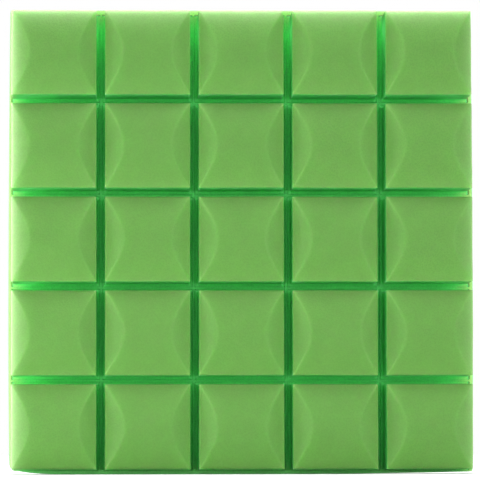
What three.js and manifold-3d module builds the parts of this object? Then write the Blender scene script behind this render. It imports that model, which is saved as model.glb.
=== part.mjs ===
// Acoustic foam panel: a square backing sheet that carries a grid of blocks with arched crowns.
// Millimetres. +X is right, +Z is up, and the crowns face -Y. The origin is the centre of the back.
import * as THREE from 'three';
import { mergeVertices } from 'three/addons/utils/BufferGeometryUtils.js';
import Module from 'manifold-3d';

// Grid
const BLOCKS_ACROSS = 5;
const BLOCKS_UP = 5;
const PITCH = 50;
const GROOVE_WIDTH = 4.6;

// Depths, from the back of the panel to the front
const SHEET_THICKNESS = 15;
const GROOVE_DEPTH = 28;

// Crown: the arch over the height tops the block, and the steeper arch over the width trims its sides
const HEIGHT_ARCH_RISE = 7;
const WIDTH_ARCH_RISE = 9.7;
const RIM_RADIUS = 1.2;

// How far each arched bar runs past the block at both ends before the two are crossed
const BAR_OVERRUN = 2;

// Smoothness of the curves
const ARCH_STEPS = 24;
const RIM_STEPS = 3;

// Foam surface
const FOAM_GREEN = 0x71ac53;
const FOAM_ROUGHNESS = 1;
const FOAM_METALNESS = 0;

// Sizes that follow from the ones above
const BLOCK_WIDTH = PITCH - GROOVE_WIDTH;
const PANEL_WIDTH = BLOCKS_ACROSS * PITCH;
const PANEL_HEIGHT = BLOCKS_UP * PITCH;

const RIGHT = new THREE.Vector3(1, 0, 0);
const FORWARD = new THREE.Vector3(0, -1, 0);
const UP = new THREE.Vector3(0, 0, 1);

const wasm = await Module();
wasm.setup();

function foam() {
  return new THREE.MeshStandardMaterial({
    color: FOAM_GREEN,
    roughness: FOAM_ROUGHNESS,
    metalness: FOAM_METALNESS,
    flatShading: true,
  });
}

// A closed geometry becomes a solid that can be cut
function toSolid(geometry) {
  const bare = geometry.clone();
  bare.deleteAttribute('normal');
  bare.deleteAttribute('uv');
  const merged = mergeVertices(bare);
  return new wasm.Manifold(new wasm.Mesh({
    numProp: 3,
    vertProperties: new Float32Array(merged.attributes.position.array),
    triVerts: new Uint32Array(merged.index.array),
  }));
}

function toGeometry(solid) {
  const { vertProperties, triVerts } = solid.getMesh();
  const geometry = new THREE.BufferGeometry();
  geometry.setAttribute('position', new THREE.BufferAttribute(vertProperties, 3));
  geometry.setIndex(new THREE.BufferAttribute(triVerts, 1));
  geometry.computeVertexNormals();
  return geometry;
}

// The knife's outline of one block: upright sides, small rounded rims and an arch between the rims.
// The arch would meet the sides at shoulderHeight if the rims were sharp.
function crownOutline(width, shoulderHeight, rise, rimRadius) {
  const half = width / 2;
  const archRadius = (half ** 2 + rise ** 2) / (2 * rise);
  const archCentre = shoulderHeight + rise - archRadius;
  const rimX = half - rimRadius;
  const rimY = archCentre + Math.sqrt((archRadius - rimRadius) ** 2 - rimX ** 2);
  const joinAngle = Math.atan2(rimY - archCentre, rimX);
  const farJoinAngle = Math.PI - joinAngle;
  const rightRim = new THREE.EllipseCurve(rimX, rimY, rimRadius, rimRadius, 0, joinAngle);
  const arch = new THREE.EllipseCurve(0, archCentre, archRadius, archRadius, joinAngle, farJoinAngle);
  const leftRim = new THREE.EllipseCurve(-rimX, rimY, rimRadius, rimRadius, farJoinAngle, Math.PI);
  return new THREE.Shape([
    new THREE.Vector2(half, 0),
    ...rightRim.getPoints(RIM_STEPS),
    ...arch.getPoints(ARCH_STEPS).slice(1),
    ...leftRim.getPoints(RIM_STEPS).slice(1),
    new THREE.Vector2(-half, 0),
  ]);
}

// A straight bar with a crown outline. The outline's width lies along `across`, and its crown
// points forward from a foot on the plane y = 0.
function archedBar(outline, across, length) {
  const along = new THREE.Vector3().crossVectors(across, FORWARD);
  const bar = new THREE.ExtrudeGeometry(outline, { depth: length, bevelEnabled: false });
  bar.translate(0, 0, -length / 2);
  bar.applyMatrix4(new THREE.Matrix4().makeBasis(across, FORWARD, along));
  return bar;
}

// One block is what two crossing bars have in common, as the foam is cut once in each direction.
// Both arches spring from the same rim, so the creases run into the corners.
function blockGeometry() {
  const barLength = BLOCK_WIDTH + 2 * BAR_OVERRUN;
  const widthOutline = crownOutline(BLOCK_WIDTH, GROOVE_DEPTH, WIDTH_ARCH_RISE, RIM_RADIUS);
  const heightOutline = crownOutline(BLOCK_WIDTH, GROOVE_DEPTH, HEIGHT_ARCH_RISE, RIM_RADIUS);
  const uprightBar = toSolid(archedBar(widthOutline, RIGHT, barLength));
  const levelBar = toSolid(archedBar(heightOutline, UP, barLength));
  return toGeometry(uprightBar.intersect(levelBar));
}

function baseSheet() {
  const sheet = new THREE.Mesh(
    new THREE.BoxGeometry(PANEL_WIDTH, SHEET_THICKNESS, PANEL_HEIGHT),
    foam(),
  );
  sheet.name = 'base_sheet';
  sheet.position.y = -SHEET_THICKNESS / 2;
  return sheet;
}

// Rows count down from the top and columns from the left, as the panel is seen from the front
function blockGrid() {
  const grid = new THREE.Group();
  grid.position.y = -SHEET_THICKNESS;
  const geometry = blockGeometry();
  for (let row = 0; row < BLOCKS_UP; row += 1) {
    for (let column = 0; column < BLOCKS_ACROSS; column += 1) {
      const block = new THREE.Mesh(geometry, foam());
      block.name = `block_r${row + 1}_c${column + 1}`;
      block.position.x = (column - (BLOCKS_ACROSS - 1) / 2) * PITCH;
      block.position.z = ((BLOCKS_UP - 1) / 2 - row) * PITCH;
      grid.add(block);
    }
  }
  return grid;
}

const panel = new THREE.Group();
panel.add(baseSheet(), blockGrid());

export default panel;
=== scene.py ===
"""Acoustic foam panel: crowned foam blocks in a grid on a backing sheet, lit from the edges."""
import math

import bpy
import numpy as np
from mathutils import Matrix, Vector, noise


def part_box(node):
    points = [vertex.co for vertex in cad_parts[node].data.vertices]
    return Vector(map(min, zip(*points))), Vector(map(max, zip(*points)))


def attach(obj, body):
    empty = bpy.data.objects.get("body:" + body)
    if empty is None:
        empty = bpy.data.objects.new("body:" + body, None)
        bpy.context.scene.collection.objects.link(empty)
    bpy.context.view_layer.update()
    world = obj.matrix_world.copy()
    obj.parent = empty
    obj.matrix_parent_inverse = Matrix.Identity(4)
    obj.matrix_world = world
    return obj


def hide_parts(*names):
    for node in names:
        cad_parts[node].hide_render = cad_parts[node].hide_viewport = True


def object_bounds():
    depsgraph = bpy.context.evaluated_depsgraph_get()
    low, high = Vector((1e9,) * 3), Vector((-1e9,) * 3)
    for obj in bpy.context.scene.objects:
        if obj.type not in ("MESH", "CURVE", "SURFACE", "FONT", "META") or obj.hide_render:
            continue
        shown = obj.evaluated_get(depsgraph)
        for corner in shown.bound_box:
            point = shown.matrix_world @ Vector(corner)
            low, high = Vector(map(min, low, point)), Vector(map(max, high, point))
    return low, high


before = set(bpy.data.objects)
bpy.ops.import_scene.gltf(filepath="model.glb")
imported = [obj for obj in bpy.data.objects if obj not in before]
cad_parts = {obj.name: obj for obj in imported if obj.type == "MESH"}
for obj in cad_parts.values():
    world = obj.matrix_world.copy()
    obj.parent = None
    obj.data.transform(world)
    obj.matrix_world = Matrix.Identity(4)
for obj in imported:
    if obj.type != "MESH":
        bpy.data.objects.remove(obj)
CAD_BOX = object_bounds()
MM = 0.001

# Shape of a block that its box in the frame doesn't give. The rims along the panel's outside are rounder.
GROOVE_DEPTH = 28 * MM
WIDTH_ARCH_RISE = 9.7 * MM
RIM_RADIUS = 1.6 * MM
OUTER_RIM_RADIUS = 3 * MM
CORNER_RADIUS = 0.5 * MM
CREASE_BLEND = 0.6 * MM
FLOOR_FILLET = 1.8 * MM
LEDGE_FILLET = 0.7 * MM

# Where the rows and columns of a block's mesh lie. A facet's columns run from the crease (0) to the
# rim (1), and the middle's columns run from the centre line (0) to the crease (1).
FACET_SHARES = (0.03, 0.07, 0.13, 0.22, 0.34, 0.48, 0.62, 0.76, 0.87, 0.93, 0.966, 0.98, 0.992, 1)
MIDDLE_SHARES = (0.1, 0.2, 0.3, 0.4, 0.5, 0.6, 0.7, 0.8, 0.88, 0.94, 0.975, 1)
ROW_SHARES = (0.06, 0.12, 0.18, 0.24, 0.3, 0.36, 0.42, 0.48, 0.54, 0.6, 0.66, 0.72, 0.78, 0.84,
              0.89, 0.93, 0.96, 0.978, 0.986, 0.992, 0.997, 1)

# Heights of the edge loops down a wall: shares of the upright part, then of the fillet below it
WALL_SHARES = (0.96, 0.9, 0.8, 0.66, 0.5, 0.34, 0.18, 0.06, 0)
FILLET_SHARES = (0.75, 0.5, 0.3, 0.14, 0.04, 0)

# The panel was trimmed by hand. Its lower left corner is cut round, its right side bulges, the sheet's
# left and lower edges are bowed, and the sheet stands out a little more at the right and at the top.
# Each bow peaks at a place along its edge.
TRIMMED_BLOCK = "block_r5_c1"
TRIMMED_CORNER = 2.2 * MM
RIGHT_BULGE = {"place": -25 * MM, "most": 0.92 * MM, "low_end": 0.46 * MM, "high_end": 0.45 * MM}
LEFT_BOW = {"place": -40 * MM, "low_end": 0.75 * MM, "high_end": 0.8 * MM}
LOWER_BOW = {"place": 35 * MM, "most": 0.2 * MM, "low_end": 0, "high_end": 1.1 * MM}
SHEET_RIGHT_EXTRA = 0.2 * MM
SHEET_TOP_EXTRA = 0.8 * MM
SHEET_CORNER = (28 * MM, 4.2 * MM)
SHEET_EDGE_RADIUS = 0.6 * MM
SHEET_STEPS = 101
SHEET_EDGE_TURNS = (math.pi / 6, math.pi / 3, math.pi / 2)
SAME_LINE_DIGITS = 6
TRIM_ZONE = 10 * MM

# Painted glow in the grooves: their colour is painted a lighter green with depth, standing in for light that
# passes through the foam. It starts a little above the rims, reaches the walls' upper green at one depth
# and their deep green at another. Towards the grooves' ends, where light comes into the foam, it fades to a
# lighter painted green, but only in part at the lower ends. The outside walls have the crown's green.
# The shares are the places of the greens in the colour ramp, from 0 on the crown to 1 at the outside.
UPPER_DEPTHS = (-0.5 * MM, 1.3 * MM)
DEEP_DEPTH = 10 * MM
UPPER_SHARE = 0.25
DEEP_SHARE = 0.5
FLOOR_SHARE = 0.75
WALL_INSET = 1.9 * MM
LOWER_SIDE = 2
LEDGE = 2.3 * MM
END_FADE = 11 * MM
LOWER_END = 0.3

# Painted highlight: creases and rims are painted paler than the rest, where light catches them. The
# panel's outside, whose left, right, lower and upper sides have a value each, has the strongest painted
# highlight, most on its upper and left sides, where most light falls.
CREASE_HIGHLIGHT = 0.015
RIM_HIGHLIGHT = 0.06
RIM_HIGHLIGHT_WIDTH = 3 * MM
OUTSIDE_HIGHLIGHT = (0.55, 0.2, 0.03, 0.62)
OUTSIDE_HIGHLIGHT_WIDTH = 2.8 * MM
HIGHLIGHT_DEPTH = 2 * MM
SHEET_HIGHLIGHT = 0.3

# Unevenness of the cut foam: how far it moves and over what length, the height above a block's foot
# at which the waves are whole, how much the blocks' arches differ, and the knife marks on the back
WAVES = ((0.16 * MM, 22 * MM), (0.06 * MM, 6 * MM))
WAVE_RISE = 6 * MM
ARCH_SPREAD = 0.04
KNIFE_MARK_DEPTH = 0.12 * MM
KNIFE_MARK_WIDTH = 5 * MM
KNIFE_MARK_LENGTH = 90 * MM

# Foam
CROWN_GREEN = (0.152, 0.376, 0.068, 1)
# Painted glow greens of the grooves, lighter than the crown's own green, stand in for light through the foam
UPPER_GLOW_GREEN = (0.1, 0.6, 0.13, 1)
FLOOR_GLOW_GREEN = (0.16, 0.93, 0.23, 1)
DEEP_GLOW_GREEN = (0.3, 0.96, 0.38, 1)
END_GLOW_GREEN = (0.48, 0.94, 0.27, 1)
# Pale green of the painted highlight on rims and creases
HIGHLIGHT_GREEN = (0.62, 0.74, 0.42, 1)
SCATTER_LENGTHS = (0.4, 1.0, 0.45)
SCATTER_SCALE = 15 * MM
SCATTER_REACH = 15 * MM
LEDGE_SCATTER = 0.45
CELL_SIZE = 0.9 * MM
CELL_RANGE = (0.1, 0.7)
CELL_SHADES = (0.93, 1.04)
CELL_BUMP = 0.2 * MM
CELL_BUMP_STRENGTH = 0.3
NOISE_RANGE = (0.3, 0.7)
PATCH_SIZE = 9 * MM
PATCH_SHADES = (0.97, 1.03)
ROUGHNESS_SIZE = 3 * MM
ROUGHNESS = (0.56, 0.64)
SPECULAR = 0.3

# Light: place, target and size in metres and power in watts.
# The floor's glow grows from its first strength at the first distance to its second at the second.
WHITE = (1, 1, 1, 1)
FLOOR_SIZE = 12
FLOOR_COLOUR = (0.88, 0.88, 0.88, 1)
GLOW_DISTANCES = (0.3, 1)
GLOW_STRENGTHS = (0.12, 0.8)
WORLD_LIGHT = 0.34
LAMPS = {
    "left_back": {"place": (-0.75, 0.28, 0), "target": (-0.12, -0.03, 0), "size": (0.25, 0.6), "power": 4.3},
    "left_side": {"place": (-0.9, -0.1, 0), "target": (-0.12, -0.03, 0), "size": (0.3, 0.5), "power": 3.6},
    "left_front": {"place": (-0.8, -0.8, 0), "target": (0, 0, 0), "size": (0.4, 0.4), "power": 2.4},
    "right_back": {"place": (0.8, 0.3, 0), "target": (0.12, -0.03, 0), "size": (0.25, 0.6), "power": 2.4},
    "right_front": {"place": (0.8, -0.8, 0), "target": (0, 0, 0), "size": (0.4, 0.4), "power": 3.6},
    "top_back": {"place": (0, 0.22, 0.75), "target": (0, -0.03, 0.12), "size": (0.6, 0.25), "power": 4},
    "top_side": {"place": (0, -0.1, 0.85), "target": (0, -0.03, 0.1), "size": (0.5, 0.3), "power": 5.9},
    "front": {"place": (-0.06, -1.8, 0.1), "target": (0, 0, 0), "size": (0.5, 0.5), "power": 1.5},
    "low_front": {
        "place": (-0.35, -0.25, -0.1175), "target": (0, 0, -0.12), "size": (0.4, 0.012), "power": 0.34,
    },
}

# Photograph's camera. Its distance and height are chosen, and the rest was found from the groove grid.
CAMERA_PLACE = Vector((-61.4, -2000, -112)) * MM
CAMERA_YAW = -0.03097
CAMERA_PITCH = 0.05685
CAMERA_ROLL = -0.00167
FOCAL_PIXELS = 3679
PHOTO_PIXELS = 480
SENSOR_MM = 36
CAMERA_REACH = 20


class Arch:
    """The outline that one pass of the knife leaves: an arc between two rounded rims."""

    def __init__(self, half, rise, rim_radii):
        self.half = half
        self.radius = (half ** 2 + rise ** 2) / (2 * rise)
        self.centre = rise - self.radius
        self.rims = [self.rim(radius) for radius in rim_radii]

    def rim(self, radius):
        """Radius and centre of a rim, and the point at which the arc runs into it."""
        offset = self.half - radius
        height = self.centre + math.sqrt((self.radius - radius) ** 2 - offset ** 2)
        angle = math.atan2(height - self.centre, offset)
        join_offset = self.radius * math.cos(angle)
        join_height = self.centre + self.radius * math.sin(angle)
        return radius, offset, height, join_offset, join_height

    def height(self, offset):
        """Height above the plane of the rims at a distance from the middle."""
        sides = [np.where(offset < 0, low, high) for low, high in zip(*self.rims)]
        rim_radius, rim_offset, rim_height, join_offset = sides[:4]
        away = np.minimum(np.abs(offset), self.half)
        arc = self.centre + np.sqrt(self.radius ** 2 - away ** 2)
        on_rim = np.clip(away - rim_offset, 0, rim_radius)
        rim = rim_height + np.sqrt(rim_radius ** 2 - on_rim ** 2)
        return np.where(away < join_offset, arc, rim)

    def offset(self, height, side):
        """Distance from the middle at which the outline has this height, on side 0 or 1."""
        rim_radius, rim_offset, rim_height, _, join_height = self.rims[side]
        drop = np.clip(height - self.centre, 0, self.radius)
        arc = np.sqrt(self.radius ** 2 - drop ** 2)
        below = np.clip(height - rim_height, 0, rim_radius)
        rim = rim_offset + np.sqrt(rim_radius ** 2 - below ** 2)
        return np.where(height > join_height, arc, rim)


def smooth_min(a, b, width):
    """The lower of two heights, with the crease between them rounded off."""
    near = np.clip(width - np.abs(a - b), 0, width) / width
    return np.minimum(a, b) - near ** 2 * width / 4


def ramp(value, start, end):
    """0 before start, 1 after end, and smooth between them."""
    t = np.clip((value - start) / (end - start), 0, 1)
    return t * t * (3 - 2 * t)


def mirrored(shares):
    """Shares of one half, from the middle out, made into shares of the whole width."""
    return np.array([-s for s in reversed(shares)] + [0] + list(shares))


def round_corners(x, z, half, radius):
    """Moves the points of a square's corners onto an arc."""
    dx = np.abs(x) - (half - radius)
    dz = np.abs(z) - (half - radius)
    corner = (dx > 0) & (dz > 0)
    length = np.hypot(dx, dz)
    scale = np.where(corner, np.maximum(dx, dz) / np.where(length > 0, length, 1), 1)
    new_x = np.where(corner, np.sign(x) * (half - radius + dx * scale), x)
    new_z = np.where(corner, np.sign(z) * (half - radius + dz * scale), z)
    return new_x, new_z


def uneven(points, foot):
    """The small waves of cut foam. They lift off a block's foot as they rise from it."""
    waves = np.zeros_like(points)
    for amount, length in WAVES:
        for i, point in enumerate(points):
            waves[i] += np.array(noise.noise_vector(Vector(point) / length)) * amount
    waves[:, 1] *= np.clip((foot - points[:, 1]) / WAVE_RISE, 0, 1)
    return points + waves


def bow(along, place, low_end, high_end, most=0):
    """How far an edge strays along its length: most at the place, and less by the ends' amounts."""
    half = CAD_BOX[1].x
    below = np.clip((place - along) / (place + half), 0, 1)
    above = np.clip((along - place) / (half - place), 0, 1)
    return most - low_end * below ** 2 - high_end * above ** 2


def grid_faces(rows, columns, start=0):
    """Quads between the points of a grid that is stored row by row."""
    faces = []
    for r in range(rows - 1):
        for c in range(columns - 1):
            a = start + r * columns + c
            faces.append((a, a + 1, a + columns + 1, a + columns))
    return faces


def grid_rim(rows, columns):
    """Row and column of each point round the outside of a grid."""
    rim = [(0, c) for c in range(columns)]
    rim += [(r, columns - 1) for r in range(1, rows)]
    rim += [(rows - 1, c) for c in range(columns - 2, -1, -1)]
    rim += [(r, 0) for r in range(rows - 2, 0, -1)]
    return np.array(rim).T


def closed_body(front, loops, back):
    """A body between two like grids of points, with edge loops round it from one to the other."""
    rows, columns = front.shape[:2]
    count = rows * columns
    r, c = grid_rim(rows, columns)
    rim = r * columns + c
    points = np.concatenate([front.reshape(-1, 3), back.reshape(-1, 3)] + loops)
    faces = grid_faces(rows, columns)
    faces += [face[::-1] for face in grid_faces(rows, columns, count)]
    rings = [rim]
    for i in range(len(loops)):
        rings.append(np.arange(len(rim)) + 2 * count + i * len(rim))
    rings.append(rim + count)
    for ring, below in zip(rings, rings[1:]):
        faces += list(zip(ring, below, np.roll(below, -1), np.roll(ring, -1)))
    return points, [tuple(int(i) for i in face) for face in faces]


def make_piece(name, points, faces, layers, material):
    mesh = bpy.data.meshes.new(name)
    mesh.from_pydata(points.tolist(), [], faces)
    for layer_name, values in layers.items():
        layer = mesh.attributes.new(layer_name, "FLOAT", "POINT")
        layer.data.foreach_set("value", values.astype(np.float32))
    mesh.polygons.foreach_set("use_smooth", [True] * len(mesh.polygons))
    mesh.materials.append(material)
    piece = bpy.data.objects.new(name, mesh)
    bpy.context.scene.collection.objects.link(piece)
    return piece


def outside_sides(low, high):
    """Whether a block's left, right, lower and upper sides lie along the panel's outside."""
    ends = (low.x - CAD_BOX[0].x, CAD_BOX[1].x - high.x, low.z - CAD_BOX[0].z, CAD_BOX[1].z - high.z)
    return [end < 2 * LEDGE for end in ends]


def near_end(points):
    """Share of the lighter painted glow at the grooves' ends: 0 in the panel's middle, and up to 1 at the
    grooves' ends. The lower ends have less.
    """
    x, _, z = points.T
    end = CAD_BOX[1].x - LEDGE
    near_side, near_lower = (
        np.clip((away - end + END_FADE) / END_FADE, 0, 1) ** 2 for away in (np.maximum(np.abs(x), z), -z)
    )
    return np.maximum(near_side, LOWER_END * near_lower)


def insets(points, low, high):
    """How far each point lies within the left, right, lower and upper sides of a box."""
    x, _, z = points.T
    return [np.maximum(inset, 0) for inset in (x - low.x, high.x - x, z - low.z, high.z - z)]


def groove_glow_layer(points, low, high, outside):
    """Painted glow of a block by depth, standing in for light through the foam: 0 on the crown and the
    panel's outside, and more in a groove.

    The slit between the panel's lower side and what it stands on counts as a groove.
    """
    y = points[:, 1]
    depth = y - (high.y - GROOVE_DEPTH)
    near_floor = ramp(y, high.y - 2 * FLOOR_FILLET, high.y)
    deep = UPPER_SHARE * ramp(depth, *UPPER_DEPTHS) + (DEEP_SHARE - UPPER_SHARE) * ramp(depth, 0, DEEP_DEPTH)
    deep += (FLOOR_SHARE - deep) * near_floor
    deep += (near_floor - deep) * near_end(points)
    layer = np.zeros(len(points))
    ends = np.ones(len(points))
    for side, (inset, is_outside) in enumerate(zip(insets(points, low, high), outside)):
        if side == LOWER_SIDE or not is_outside:
            layer = np.maximum(layer, deep * (inset < WALL_INSET))
        else:
            ends *= np.clip(inset / CORNER_RADIUS, 0, 1)
    return layer * ends


def highlight_layer(points, low, high, outside, front):
    """How much painted highlight each point gets: most along the rims, and less with its depth behind the
    front.
    """
    layer = np.zeros(len(points))
    for inset, is_outside, outside_highlight in zip(insets(points, low, high), outside, OUTSIDE_HIGHLIGHT):
        wear, width = (outside_highlight, OUTSIDE_HIGHLIGHT_WIDTH) if is_outside else (RIM_HIGHLIGHT, RIM_HIGHLIGHT_WIDTH)
        layer = np.maximum(layer, wear * np.exp(-inset / width))
    return layer * (1 - ramp(points[:, 1] - front, 0, HIGHLIGHT_DEPTH))


def fillet_outset(height, radius):
    """How far a fillet stands out from its wall at a height above the floor."""
    return radius - np.sqrt(radius ** 2 - np.clip(radius - height, 0, radius) ** 2)


def block_mesh(node):
    """Points, faces and layers of one crowned block. Its edge loops follow the creases."""
    low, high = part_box(node)
    half = (high.x - low.x) / 2
    foot = high.y
    rim = foot - GROOVE_DEPTH
    centre = Vector(((low.x + high.x) / 2, foot, (low.z + high.z) / 2))
    outside = outside_sides(low, high)
    rims = [OUTER_RIM_RADIUS if is_outside else RIM_RADIUS for is_outside in outside]
    spread = 1 + ARCH_SPREAD * noise.noise(centre / half)
    width_arch = Arch(half, WIDTH_ARCH_RISE * spread, rims[:2])
    height_arch = Arch(half, rim - low.y, rims[2:])

    row_z = mirrored(ROW_SHARES) * half
    level = height_arch.height(row_z)
    sides = []
    for side in (0, 1):
        fold = width_arch.offset(level, side)
        columns = [fold * share for share in MIDDLE_SHARES]
        columns += [fold + (half - fold) * share for share in FACET_SHARES]
        sides.append(columns)
    x = np.stack([-c for c in reversed(sides[0])] + [np.zeros_like(row_z)] + sides[1], axis=1)
    z = np.repeat(row_z[:, None], x.shape[1], axis=1)
    across_crown = width_arch.height(x)
    upright_crown = height_arch.height(z)
    crown = smooth_min(across_crown, upright_crown, CREASE_BLEND)
    crease = 1 - ramp(np.abs(across_crown - upright_crown), 0, CREASE_BLEND)
    corner = np.full_like(x, CORNER_RADIUS)
    if node == TRIMMED_BLOCK:
        corner = np.where((x < 0) & (z < 0), TRIMMED_CORNER, corner)
    x, z = round_corners(x, z, half, corner)
    front = np.stack([x + centre.x, rim - crown, z + centre.z], axis=2)

    r, c = grid_rim(*x.shape)
    wall = GROOVE_DEPTH + crown[r, c] - FLOOR_FILLET
    heights = [FLOOR_FILLET + wall * share for share in WALL_SHARES]
    heights += [np.full_like(wall, FLOOR_FILLET * share) for share in FILLET_SHARES]
    fillets = [LEDGE_FILLET if is_outside else FLOOR_FILLET for is_outside in outside]
    fillet_x = np.where(x < 0, *fillets[:2])
    fillet_z = np.where(z < 0, *fillets[2:])
    loops = []
    for height in heights:
        loop_x = x[r, c] * (1 + fillet_outset(height, fillet_x[r, c]) / half)
        loop_z = z[r, c] * (1 + fillet_outset(height, fillet_z[r, c]) / half)
        loops.append(np.stack([loop_x + centre.x, foot - height, loop_z + centre.z], axis=1))
    foot_x = x * (1 + fillet_x / half) + centre.x
    foot_z = z * (1 + fillet_z / half) + centre.z
    back = np.stack([foot_x, np.full_like(x, foot), foot_z], axis=2)

    points, faces = closed_body(front, loops[:-1], back)
    groove = groove_glow_layer(points, low, high, outside)
    # Painted highlight along the rims, and along the creases below
    wear = highlight_layer(points, low, high, outside, rim)
    wear[:crease.size] += CREASE_HIGHLIGHT * crease.ravel()
    if outside[1]:
        across = np.clip((points[:, 0] - low.x) / (high.x - low.x), 0, 1)
        points[:, 0] += bow(points[:, 2], **RIGHT_BULGE) * across ** 2
    scatter = (1 - groove) * (1 - ramp(points[:, 1], rim, rim + SCATTER_REACH))
    return uneven(points, foot), faces, {"groove": groove, "wear": wear, "scatter": scatter}


def trimmed(x, z):
    """The sheet's outline as it was cut. Its middle stays, and the four edges move."""
    low, high = CAD_BOX
    near_left, near_right, near_bottom, near_top = (
        np.clip(1 - away / TRIM_ZONE, 0, 1) for away in (x - low.x, high.x - x, z - low.z, high.z - z)
    )
    corner_width, corner_height = SHEET_CORNER
    into_corner = np.clip(1 - (x - low.x) / corner_width, 0, 1)
    raised = corner_height * (1 - np.sqrt(1 - into_corner ** 2)) - bow(x, **LOWER_BOW)
    widened = bow(z, **RIGHT_BULGE) + SHEET_RIGHT_EXTRA
    across = x - bow(z, **LEFT_BOW) * near_left + widened * near_right
    return across, z + raised * near_bottom + SHEET_TOP_EXTRA * near_top


def sheet_mesh(node):
    """Points, faces and layers of the backing sheet, a slab with softened edges."""
    low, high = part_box(node)
    half = (high.x - low.x) / 2
    flat = half - SHEET_EDGE_RADIUS
    edges = [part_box(n)[i].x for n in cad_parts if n.startswith("block_r1") for i in (0, 1)]
    line = np.unique(np.round(edges + list(np.linspace(-flat, flat, SHEET_STEPS)), SAME_LINE_DIGITS))
    square_x, square_z = np.meshgrid(line, line)

    def placed(x, z, y, size):
        across, up = trimmed(*round_corners(x, z, size, CORNER_RADIUS + size - flat))
        return np.stack([across, np.full_like(across, y), up], axis=-1)

    front = placed(square_x, square_z, low.y, flat)
    back = placed(square_x, square_z, high.y, flat)
    for point in back.reshape(-1, 3):
        along = Vector((point[0] / KNIFE_MARK_WIDTH, 0, point[2] / KNIFE_MARK_LENGTH))
        point[1] -= KNIFE_MARK_DEPTH * (0.5 + 0.5 * noise.noise(along))
    r, c = grid_rim(*square_x.shape)
    turns = [(math.sin(turn), 1 - math.cos(turn)) for turn in SHEET_EDGE_TURNS]
    profile = [(out, low.y + SHEET_EDGE_RADIUS * depth) for out, depth in turns]
    # An edge loop behind the depth at which the painted highlight has faded
    profile.append((1, low.y + SHEET_EDGE_RADIUS + HIGHLIGHT_DEPTH))
    profile += [(out, high.y - SHEET_EDGE_RADIUS * depth) for out, depth in reversed(turns)]
    loops = []
    for out, y in profile:
        size = flat + SHEET_EDGE_RADIUS * out
        loops.append(placed(square_x[r, c] * size / flat, square_z[r, c] * size / flat, y, size))
    points, faces = closed_body(front, loops, back)
    front_share = 1 - ramp(points[:, 1] - low.y, 0, SHEET_EDGE_RADIUS)
    ends = near_end(points) * front_share
    # The sheet's front gets the painted glow green of the groove floors, lighter towards the ends
    groove = FLOOR_SHARE * front_share + (1 - FLOOR_SHARE) * ends
    # The sheet's edges get a weaker painted highlight
    wear = SHEET_HIGHLIGHT * highlight_layer(points, low, high, [True] * 4, low.y)
    return points, faces, {"groove": groove, "wear": wear, "scatter": LEDGE_SCATTER * ends}


def mapped(nodes, links, value, source, target):
    """A value whose source range is stretched over the target range."""
    node = nodes.new("ShaderNodeMapRange")
    links.new(value, node.inputs["Value"])
    for name, number in zip(("From Min", "From Max", "To Min", "To Max"), source + target):
        node.inputs[name].default_value = number
    return node.outputs["Result"]


def combined(nodes, links, operation, a, b):
    """Two values put together by one of Blender's maths operations."""
    node = nodes.new("ShaderNodeMath")
    node.operation = operation
    links.new(a, node.inputs[0])
    links.new(b, node.inputs[1])
    return node.outputs["Value"]


def foam_material():
    material = bpy.data.materials.new("foam")
    material.use_nodes = True
    nodes = material.node_tree.nodes
    links = material.node_tree.links
    shader = nodes["Principled BSDF"]
    place = nodes.new("ShaderNodeTexCoord").outputs["Object"]

    def layer(name):
        node = nodes.new("ShaderNodeAttribute")
        node.attribute_name = name
        return node.outputs["Fac"]

    def texture(kind, output, size):
        node = nodes.new(kind)
        node.inputs["Scale"].default_value = 1 / size
        links.new(place, node.inputs["Vector"])
        return node.outputs[output]

    # Colour ramp from the crown's own green to the painted glow greens of the grooves
    green_and_glow = nodes.new("ShaderNodeValToRGB")
    green_and_glow.color_ramp.elements[0].color = CROWN_GREEN
    green_and_glow.color_ramp.elements[1].color = END_GLOW_GREEN
    for share, colour in ((UPPER_SHARE, UPPER_GLOW_GREEN), (FLOOR_SHARE, FLOOR_GLOW_GREEN), (DEEP_SHARE, DEEP_GLOW_GREEN)):
        green_and_glow.color_ramp.elements.new(share).color = colour
    links.new(layer("groove"), green_and_glow.inputs["Fac"])
    cells = texture("ShaderNodeTexVoronoi", "Distance", CELL_SIZE)
    # Mixed towards the painted highlight's pale green along rims and creases
    highlighted = nodes.new("ShaderNodeMixRGB")
    highlighted.inputs["Color2"].default_value = HIGHLIGHT_GREEN
    links.new(layer("wear"), highlighted.inputs["Fac"])
    links.new(green_and_glow.outputs["Color"], highlighted.inputs["Color1"])
    cell_shade = mapped(nodes, links, cells, CELL_RANGE, CELL_SHADES)
    patches = texture("ShaderNodeTexNoise", "Fac", PATCH_SIZE)
    patch_shade = mapped(nodes, links, patches, NOISE_RANGE, PATCH_SHADES)
    shade = combined(nodes, links, "MULTIPLY", cell_shade, patch_shade)
    shaded = nodes.new("ShaderNodeVectorMath")
    shaded.operation = "SCALE"
    links.new(highlighted.outputs["Color"], shaded.inputs["Vector"])
    links.new(shade, shaded.inputs["Scale"])
    links.new(shaded.outputs["Vector"], shader.inputs["Base Color"])
    rough = mapped(nodes, links, texture("ShaderNodeTexNoise", "Fac", ROUGHNESS_SIZE), NOISE_RANGE, ROUGHNESS)
    links.new(rough, shader.inputs["Roughness"])
    bump = nodes.new("ShaderNodeBump")
    bump.inputs["Strength"].default_value = CELL_BUMP_STRENGTH
    bump.inputs["Distance"].default_value = CELL_BUMP
    links.new(cells, bump.inputs["Height"])
    links.new(bump.outputs["Normal"], shader.inputs["Normal"])
    shader.inputs["Specular IOR Level"].default_value = SPECULAR
    links.new(layer("scatter"), shader.inputs["Subsurface Weight"])
    shader.inputs["Subsurface Radius"].default_value = SCATTER_LENGTHS
    shader.inputs["Subsurface Scale"].default_value = SCATTER_SCALE
    return material


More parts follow.
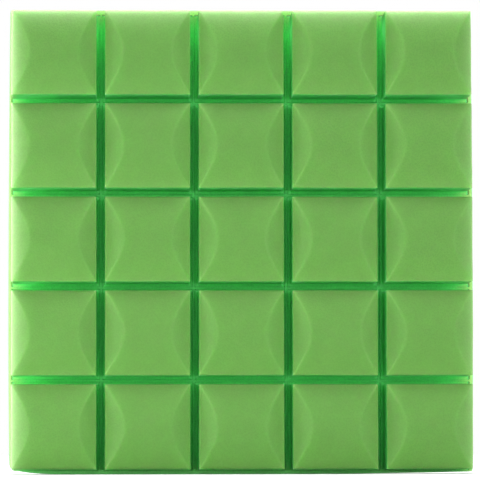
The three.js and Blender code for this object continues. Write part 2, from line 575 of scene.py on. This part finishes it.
def area_lamp(name, place, target, size, power):
    data = bpy.data.lights.new(name, "AREA")
    data.shape = "RECTANGLE"
    data.size, data.size_y = size
    data.energy = power
    lamp = bpy.data.objects.new(name, data)
    lamp.location = place
    lamp.rotation_euler = (Vector(target) - Vector(place)).to_track_quat("-Z", "Y").to_euler()
    lamp.visible_camera = False
    bpy.context.scene.collection.objects.link(lamp)


def seen_directly(nodes, links):
    """1 for rays from the camera, off a shiny surface or through a clear one, and 0 for the rest."""
    path = nodes.new("ShaderNodeLightPath")
    seen = path.outputs["Is Camera Ray"]
    for ray in ("Is Glossy Ray", "Is Transmission Ray"):
        seen = combined(nodes, links, "MAXIMUM", seen, path.outputs[ray])
    return seen


def floor_material():
    """A pale floor that is seen as white: its glow is weak near the object, which keeps its shadow."""
    material = bpy.data.materials.new("floor_white")
    material.use_nodes = True
    nodes = material.node_tree.nodes
    links = material.node_tree.links
    nodes.clear()
    diffuse = nodes.new("ShaderNodeBsdfDiffuse")
    diffuse.inputs["Color"].default_value = FLOOR_COLOUR
    away = nodes.new("ShaderNodeVectorMath")
    away.operation = "LENGTH"
    links.new(nodes.new("ShaderNodeTexCoord").outputs["Object"], away.inputs[0])
    strength = mapped(nodes, links, away.outputs["Value"], GLOW_DISTANCES, GLOW_STRENGTHS)
    seen_strength = combined(nodes, links, "MULTIPLY", seen_directly(nodes, links), strength)
    glow = nodes.new("ShaderNodeEmission")
    links.new(seen_strength, glow.inputs["Strength"])
    both = nodes.new("ShaderNodeAddShader")
    links.new(diffuse.outputs["BSDF"], both.inputs[0])
    links.new(glow.outputs["Emission"], both.inputs[1])
    output = nodes.new("ShaderNodeOutputMaterial")
    links.new(both.outputs["Shader"], output.inputs["Surface"])
    return material


def make_floor():
    half = FLOOR_SIZE / 2
    z = CAD_BOX[0].z - LOWER_BOW["most"]
    mesh = bpy.data.meshes.new("floor")
    mesh.from_pydata([(-half, -half, z), (half, -half, z), (half, half, z), (-half, half, z)],
                     [], [(0, 1, 2, 3)])
    floor = bpy.data.objects.new("floor", mesh)
    bpy.context.scene.collection.objects.link(floor)
    mesh.materials.append(floor_material())


def make_world():
    world = bpy.data.worlds.new("studio")
    bpy.context.scene.world = world
    world.use_nodes = True
    nodes = world.node_tree.nodes
    links = world.node_tree.links
    light = nodes["Background"]
    light.inputs["Color"].default_value = WHITE
    light.inputs["Strength"].default_value = WORLD_LIGHT
    white = nodes.new("ShaderNodeBackground")
    white.inputs["Color"].default_value = WHITE
    white.inputs["Strength"].default_value = 1
    mix = nodes.new("ShaderNodeMixShader")
    links.new(seen_directly(nodes, links), mix.inputs[0])
    links.new(light.outputs[0], mix.inputs[1])
    links.new(white.outputs[0], mix.inputs[2])
    links.new(mix.outputs[0], nodes["World Output"].inputs["Surface"])


def make_camera():
    data = bpy.data.cameras.new("camera")
    data.sensor_width = SENSOR_MM
    data.lens = FOCAL_PIXELS / PHOTO_PIXELS * SENSOR_MM
    data.clip_end = CAMERA_REACH
    camera = bpy.data.objects.new("camera", data)
    level = math.pi / 2
    camera.matrix_world = (
        Matrix.Translation(CAMERA_PLACE)
        @ Matrix.Rotation(CAMERA_YAW, 4, "Z")
        @ Matrix.Rotation(level + CAMERA_PITCH, 4, "X")
        @ Matrix.Rotation(CAMERA_ROLL, 4, "Z")
    )
    bpy.context.scene.collection.objects.link(camera)
    bpy.context.scene.camera = camera


make_camera()
foam = foam_material()
for node in sorted(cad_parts):
    build = sheet_mesh if node == "base_sheet" else block_mesh
    piece = make_piece("foam_" + node, *build(node), foam)
    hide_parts(node)
    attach(piece, "root")

make_world()
make_floor()
for name, lamp in LAMPS.items():
    area_lamp(name, **lamp)

bpy.context.scene.view_settings.view_transform = "Standard"
